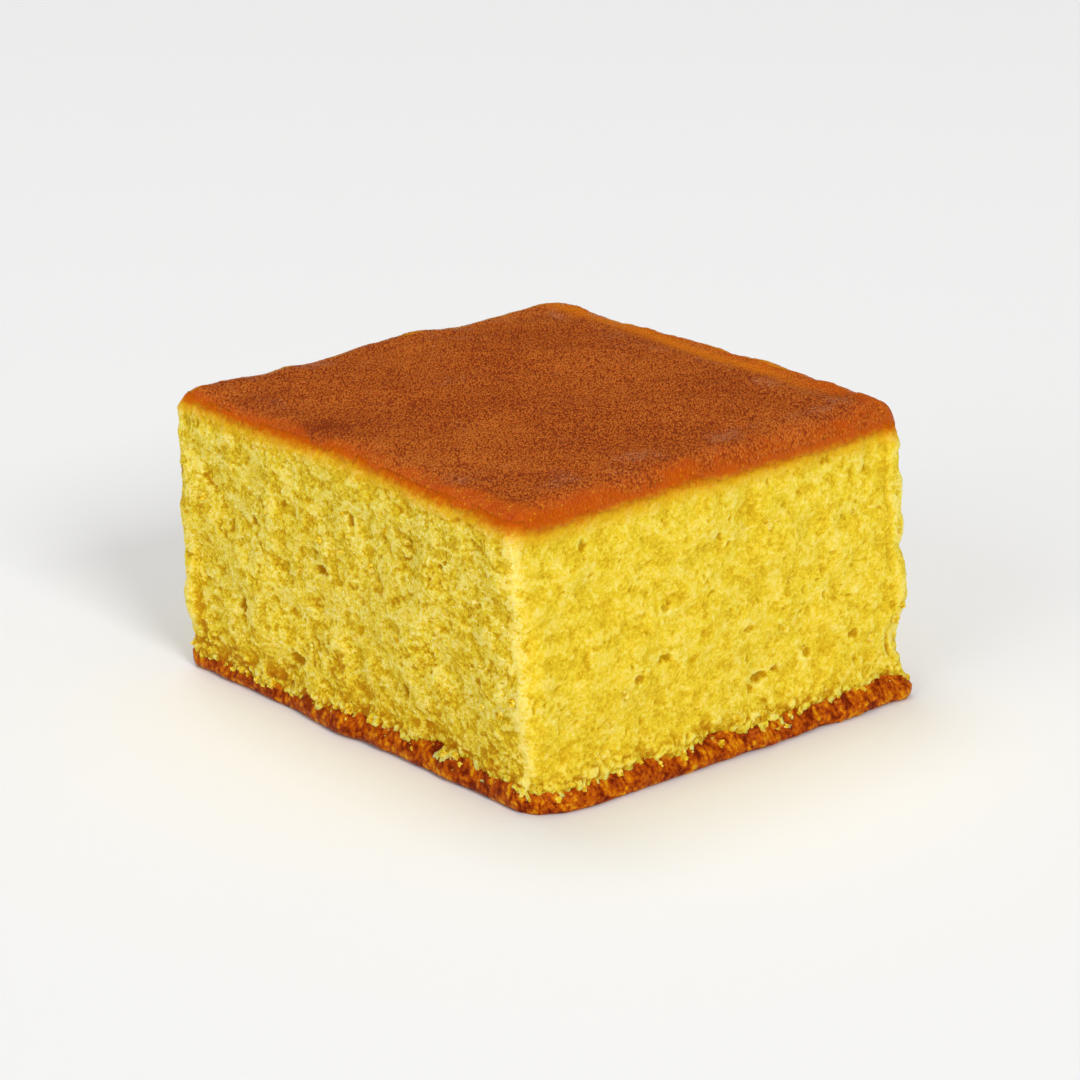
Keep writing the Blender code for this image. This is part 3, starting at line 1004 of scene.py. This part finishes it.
# %% The tray rule
def tray_rays(cell, bend, up):
    """Starting places and ways for a grid that covers a face and turns down over its edges."""
    reach = FAN * bend
    columns = int(2 * (CORE_X + reach) / cell)
    rows = int(2 * (CORE_Y + reach) / cell)
    across, along = np.meshgrid(
        np.linspace(-CORE_X - reach, CORE_X + reach, columns),
        np.linspace(-CORE_Y - reach, CORE_Y + reach, rows),
    )
    out_x = np.maximum(np.abs(across) - CORE_X, 0.0)
    out_y = np.maximum(np.abs(along) - CORE_Y, 0.0)
    out = np.maximum(out_x, out_y)
    safe = np.maximum(out, 1e-9)
    turn = np.where(out_x >= out_y, out_y / safe, 2.0 - out_x / safe) * math.pi / 4
    bent = out / FAN
    ways = np.zeros((rows, columns, 3))
    ways[..., 0] = np.sign(across) * np.cos(turn) * np.sin(bent)
    ways[..., 1] = np.sign(along) * np.sin(turn) * np.sin(bent)
    ways[..., 2] = up * np.cos(bent)
    origins = np.zeros_like(ways)
    origins[..., 0] = np.clip(across, -CORE_X, CORE_X)
    origins[..., 1] = np.clip(along, -CORE_Y, CORE_Y)
    origins[..., 2] = TOP - 0.7 - FAN if up > 0 else FAN
    return origins, ways, out


# %% [markdown]
# ## The top crust
# The crust is a leathery skin. It is smooth from a distance and finely wrinkled close up, with shallow
# dimples where bubbles lie under it. Its rim is rounded, a little lumpy, and paler than the middle.

# %% The top crust's skin and rim
TOP_CELL = 0.217  # between the skin's points
TOP_BEND = math.radians(73.0)  # the outermost ways lean out this far from upright

origins, ways, out = tray_rays(TOP_CELL, TOP_BEND, 1.0)
skin = surface_of(origins, ways, 3)
skin_x, skin_y, skin_z = skin[..., 0], skin[..., 1], skin[..., 2]
below = np.maximum(crest_at(skin) - skin_z, 0.0) * smooth_step(0.0, 1.2, out)
below -= crust_run(skin) * smooth_step(0.3, 1.2, below)
level = 1.0 - smooth_step(0.5, 1.6, below)
from_edge = np.minimum(HALF_X - np.abs(skin_x), HALF_Y - np.abs(skin_y))
from_near_corner = np.hypot(skin_x + HALF_X, skin_y + HALF_Y)
narrow = smooth_step(0.0, 6.0, skin_y - skin_x + 6.0 * noise(skin, 9.0, 70))
rim_width = 6.5 - 2.6 * narrow + 3.5 * (1.0 - smooth_step(5.0, 18.0, from_near_corner))
rim = 1.0 - smooth_step(0.4, rim_width, from_edge + 1.1 * noise(skin, 3.0, 76))
print(f"the rim is {rim_width.min():.1f} to {rim_width.max():.1f} mm wide")

# %% The top crust's relief
leather, _ = granules(stirred(skin, 0.8, 0.25, 71), 0.70, 75)
seeds, seeds_own = granules(skin, 1.0, 72)
wrinkle = (0.055 * np.sqrt(leather) + 0.03 * layered(skin, 0.8, 73, 2)) * (1.0 - 0.65 * rim)
wrinkle += (0.07 + 0.04 * seeds_own) * seeds * rim * (1.0 - smooth_step(0.8, 1.6, below))
waves = 0.11 * layered(skin, 3.2, 78, 2) * (1.0 - 0.8 * smooth_step(0.8, 1.7, below))
lumps = 0.10 * layered(skin, 1.6, 77, 2) * np.maximum(rim, 1.0 - level)
lumps *= 1.0 - smooth_step(1.0, 1.7, below)
# the sponge rose a little more along the two far edges
near_y = 1.0 - smooth_step(2.0, 7.0, HALF_Y - skin_y)
near_x = 1.0 - smooth_step(1.0, 4.5, HALF_X - skin_x)
swell = 0.55 * near_y * hump(skin_x - 6.0, 7.0)
swell += near_x * (0.55 * hump(skin_y + 10.0, 9.0) + 0.35 * hump(skin_y - 25.0, 5.0))
relief = wrinkle + waves + lumps + swell * level
# how deep in a wrinkle each point lies, for painted shade in the valleys
hollow = np.clip((blurred(relief, 2) - relief) / 0.06, -1.0, 1.0)
# the skin's lower edge sinks in behind the crumb
relief -= 0.45 * smooth_step(-0.1, 0.6, below - crust_edge(skin))
print(f"the skin's relief runs from {relief.min():.2f} to {relief.max():.2f} mm")

# %% The top crust's colour notes
SCORCHED = [(-26.0, 20.0, 3.5), (-27.0, 7.0, 3.5), (-18.0, -24.0, 3.0)]  # x, y and reach of dark spots

scorch = np.zeros_like(rim)
for spot_x, spot_y, spot_reach in SCORCHED:
    scorch += hump(np.hypot(skin_x - spot_x, skin_y - spot_y), spot_reach)
# an amber fold runs along the edge at +X
inside_fold = HALF_X - 4.6 - skin_x + 0.8 * noise(skin, 6.0, 79)
fold = 0.8 * level * hump(inside_fold, 1.4) * smooth_step(-24.0, -8.0, skin_y)
# and golden painted rim light, in places where the skin turns down to the far faces
slope = np.cross(np.gradient(skin, axis=1), np.gradient(skin, axis=0))
slope /= np.linalg.norm(slope, axis=-1, keepdims=True)
faces_away = blurred(np.maximum(slope[..., 0], slope[..., 1]), 2) + 0.05 * noise(skin, 1.5, 80)
painted_rim_light = 0.40 * smooth_step(0.12, 0.24, faces_away) * (1.0 - smooth_step(0.38, 0.60, faces_away))
painted_rim_light *= 0.15 + 0.85 * smooth_step(-0.2, 0.5, noise(skin, 3.5, 89))
# a pale, pinkish painted sheen lies just inside the near rims
painted_sheen = 0.55 * hump(from_edge - rim_width - 1.0, 2.4) * (1.0 - 0.7 * narrow)
painted_sheen *= smooth_step(-0.8, 0.3, noise(skin, 4.0, 88))

# %% Make the top crust
notes = {"rim": rim, "below_top": below, "hollow": hollow}
notes.update({"painted_sheen": painted_sheen, "scorch": scorch, "fold": fold, "painted_rim_light": painted_rim_light})
hand_in(grid_piece("top_crust", skin + ways * relief[..., None], notes, top_finish))

# %% [markdown]
# ## The base crust
# The base was fried a little in the tray's oil. It is thin, brown and ragged, it stands out past the
# crumb, and small crumbs cling to it. Its tray is cast downwards, so its faces are turned over afterwards.

# %% Make the base crust
BASE_CELL = 0.25  # between the shell's points
BASE_BEND = math.radians(64.0)

origins, ways, _ = tray_rays(BASE_CELL, BASE_BEND, -1.0)
shell = surface_of(origins, ways, 1)
edge_line = base_line(shell) + 0.25 + 0.4 * noise(shell, 0.9, 82)
nubs, nubs_own = granules(stirred(shell, 0.8, 0.25, 86), 1.1, 87)
proud = 0.10 + 0.22 * layered(shell, 2.4, 83, 2) + (0.20 + 0.12 * nubs_own) * nubs
# how deep in a hollow each point lies, for painted shade in the base crust's colour
hollow = np.clip((blurred(proud, 2) - proud) / 0.12, -1.0, 1.0)
# above its edge line the shell is tucked in behind the crumb
tucked = smooth_step(-0.35, 0.3, shell[..., 2] - edge_line)
on_side = smooth_step(0.5, 0.9, np.hypot(ways[..., 0], ways[..., 1]))
relief = (proud * (1.0 - tucked) - 0.9 * tucked) * on_side
places = shell + ways * relief[..., None] + foot_bulge(shell)
places[..., 2] = np.maximum(places[..., 2], 0.0)
base_crust = grid_piece("base_crust", places, {"hollow": hollow}, base_finish)
base_crust.data.flip_normals()
hand_in(base_crust)

# %% [markdown]
# ## Loose crumbs
# A knife leaves crumbs on the cut, stuck where they fell, and torn lumps hang over the base. Each is a
# ball pushed in and out by noise, stretched and turned at random and half sunk into the sheet. Hundreds
# of objects would be slow, so all are poured into one mesh, with a square of the texture map for each.

# %% Choose places for the loose crumbs
CRUMBS_PER_HALF = 150
CRUMB_SEED = 12


def on_peaks(places, notes):
    """Crumbs lie on what stands out, away from the crust, and gather towards the base."""
    height = places[..., 2]
    low = 0.10 + 4.0 * (1.0 - smooth_step(2.0, 5.5, height))
    return low * (1.05 - notes["hollow"]) * (height > 1.6) * (notes["below_top"] > 3.4)


def spots(half, draw):
    """Chosen places on a half of the crumb, with their ways out."""
    places, ways, notes = half
    chance = on_peaks(places, notes).ravel()
    chosen = draw.choice(chance.size, CRUMBS_PER_HALF, replace=False, p=chance / chance.sum())
    return places.reshape(-1, 3)[chosen], ways.reshape(-1, 3)[chosen]


draw = np.random.default_rng(CRUMB_SEED)
found = [spots(half, draw) for half in (near_half, far_half)]
middles, ways = (np.concatenate(part) for part in zip(*found, strict=True))
count = len(middles)
print(f"{count} places, {middles[:, 2].min():.1f} to {middles[:, 2].max():.1f} mm up")

# %% Shape the loose crumbs
SMALLEST, SIZE_RANGE = 0.20, 0.34  # the smallest radius, and how much larger the largest is
MOSTLY_SMALL = 1.6
SUNK = 0.15  # as a share of the radius
LUMPS = 0.50
APART = 50.0  # far enough apart in the noise that no two crumbs are alike

ball = bmesh.new()
bmesh.ops.create_icosphere(ball, subdivisions=3, radius=1.0)
ball_points = np.array([vert.co[:] for vert in ball.verts])
ball_faces = np.array([[vert.index for vert in face.verts] for face in ball.faces])
ball.free()

radii = SMALLEST + SIZE_RANGE * draw.uniform(0.0, 1.0, count) ** MOSTLY_SMALL
middles = middles - ways * (SUNK * radii)[:, None]
dents = ball_points[None] * 1.4 + APART * draw.uniform(0.0, 1.0, (count, 1, 3))
swollen = 1.0 + LUMPS * layered(dents, 0.9, 16)
shapes = ball_points[None] * draw.uniform(0.65, 1.35, (count, 1, 3)) * swollen[..., None]
spins = draw.normal(size=(count, 3, 3))
frames, _ = np.linalg.qr(spins)
points = (middles[:, None] + shapes @ frames * radii[:, None, None]) * MM
faces = ball_faces[None] + (np.arange(count) * len(ball_points))[:, None, None]
print(f"loose crumbs of {radii.min():.2f} to {radii.max():.2f} mm radius")

# %% Make the loose crumbs
mesh = bpy.data.meshes.new("crumb_grains")
mesh.from_pydata(points.reshape(-1, 3).tolist(), [], faces.reshape(-1, 3).tolist())
per_row = math.ceil(math.sqrt(count))
square_of = np.stack([np.arange(count) % per_row, np.arange(count) // per_row], axis=-1) / per_row
flat_ball = (ball_points[:, :2] * 0.45 + 0.5) / per_row
corners_flat = (square_of[:, None] + flat_ball[ball_faces.ravel()][None]).reshape(-1, 2)
mesh.uv_layers.new(name="OFBake").data.foreach_set("uv", corners_flat.astype(np.float32).ravel())
dips = 1.0 - swollen
# each crumb gets a random tone, and its dents get painted shade: deeper yellow and toasted brown
notes = {
    "hollow": np.clip(draw.uniform(0.0, 0.6, (count, 1)) + 2.0 * dips, -1.0, 1.0),
    "below_top": np.full(swollen.shape, 20.0),  # too far below for the crust's colours
    "toast_and_shade": np.clip(0.8 * dips, 0.0, 0.5),
    "crumbly": np.ones(swollen.shape),
}
keep_notes(mesh, notes)
mesh.materials.append(grain_finish)
crumb_grains = in_scene("crumb_grains", mesh)
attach(crumb_grains, "root")
print(count, "loose crumbs,", len(mesh.polygons), "triangles")

# %% Update the scene
bpy.context.view_layer.update()
